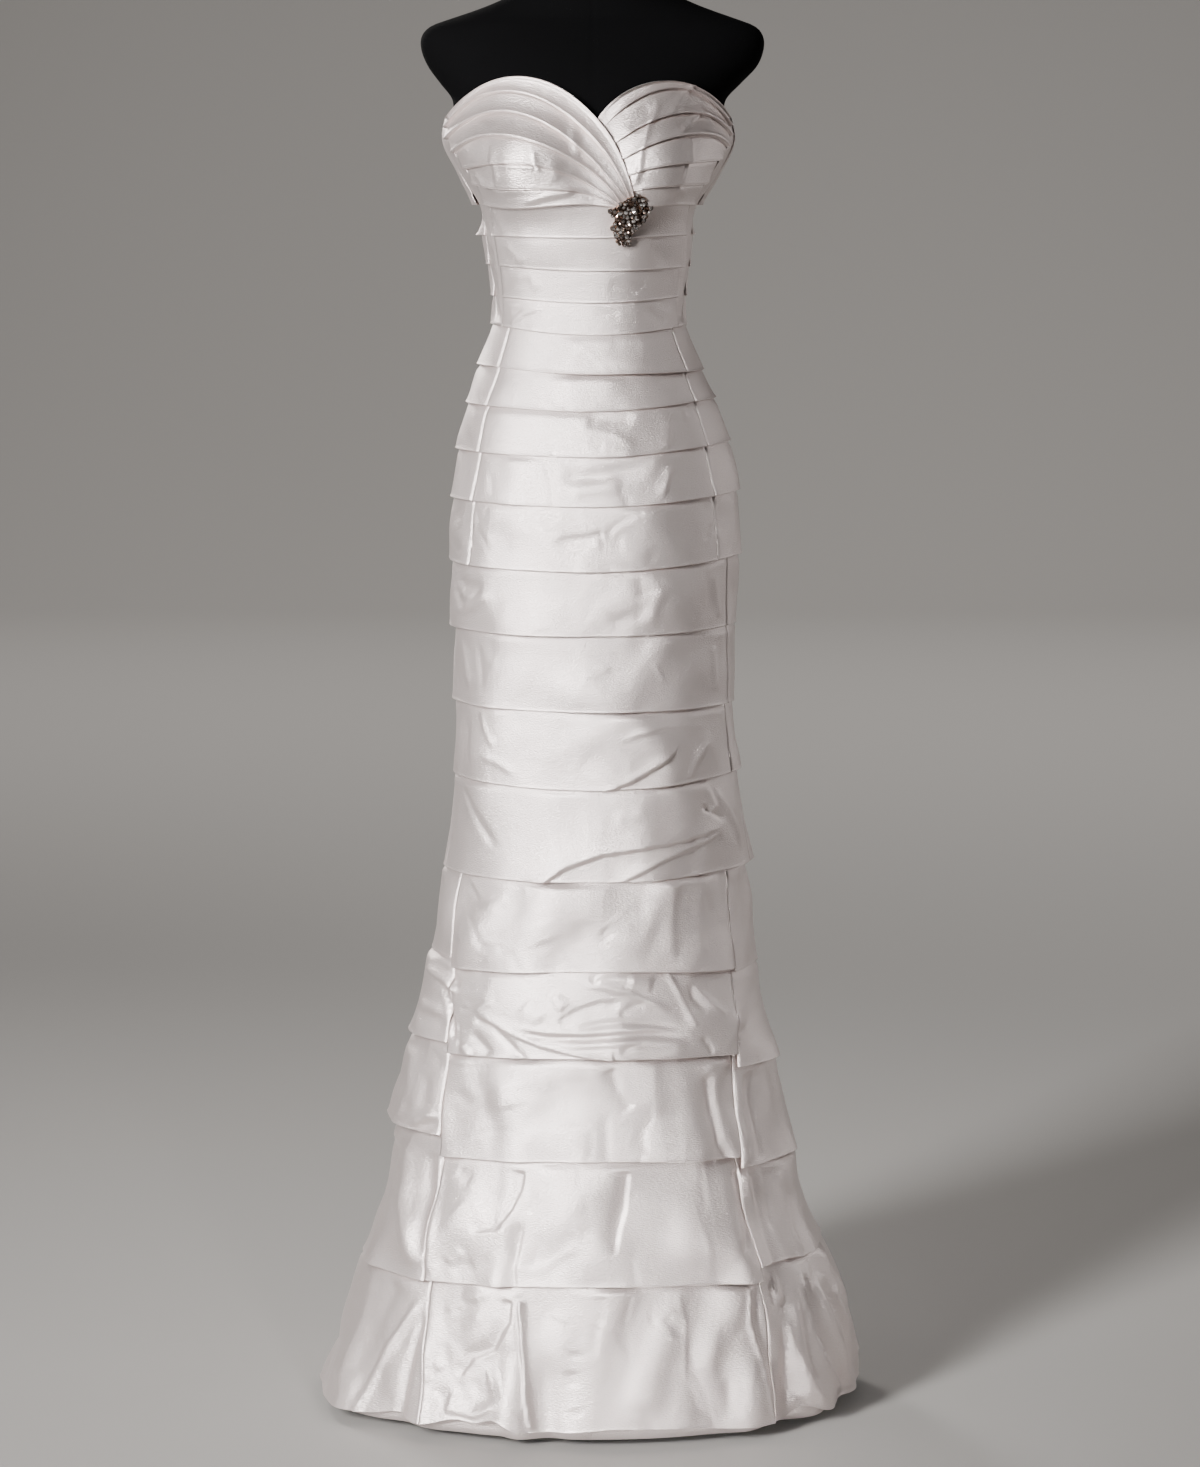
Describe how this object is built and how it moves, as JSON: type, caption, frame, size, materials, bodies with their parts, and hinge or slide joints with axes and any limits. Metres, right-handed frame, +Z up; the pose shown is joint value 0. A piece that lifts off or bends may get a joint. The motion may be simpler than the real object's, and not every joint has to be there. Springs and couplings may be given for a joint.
{
  "type": "evening gown on dress form",
  "caption": "Strapless tiered trumpet evening gown in ivory satin, worn on a limbless dress form with its stand.",
  "frame": {"origin": "centre of the underside of the dress form's stand, on the floor", "axes": "+Z up the body, -Y towards the front of the gown, +X to the right as seen from the front"},
  "size_m": [0.5868, 0.5036, 1.6183],
  "materials": {
    "satin": "soft sheen, fine weave",
    "crystal": "polished",
    "jersey": "matt",
    "lacquer": "satin",
    "steel": "satin"
  },
  "bodies": {
    "root": {"back_bodice": "satin", "band_01_back": "satin", "band_01_front": "satin", "band_02_back": "satin", "band_02_front": "satin", "band_03_back": "satin", "band_03_front": "satin", "band_04_back": "satin", "band_04_front": "satin", "band_05_back": "satin", "band_05_front": "satin", "band_06_back": "satin", "band_06_front": "satin", "band_07_back": "satin", "band_07_front": "satin", "band_08_back": "satin", "band_08_front": "satin", "band_09_back": "satin", "band_09_front": "satin", "band_10_back": "satin", "band_10_front": "satin", "band_11_back": "satin", "band_11_front": "satin", "band_12_back": "satin", "band_12_front": "satin", "band_13_back": "satin", "band_13_front": "satin", "band_14_back": "satin", "band_14_front": "satin", "band_15_back": "satin", "band_15_front": "satin", "band_16_back": "satin", "band_16_front": "satin", "band_17_back": "satin", "band_17_front": "satin", "band_18_back": "satin", "band_18_front": "satin", "bodice_cup_left": "satin", "bodice_cup_right": "satin", "brooch": "crystal", "form_neck_cap": "lacquer", "form_torso": "jersey", "hem_underlayer": "satin", "side_panel_left": "satin", "side_panel_right": "satin", "stand_base": "steel", "stand_pole": "steel"}
  },
  "joints": []
}
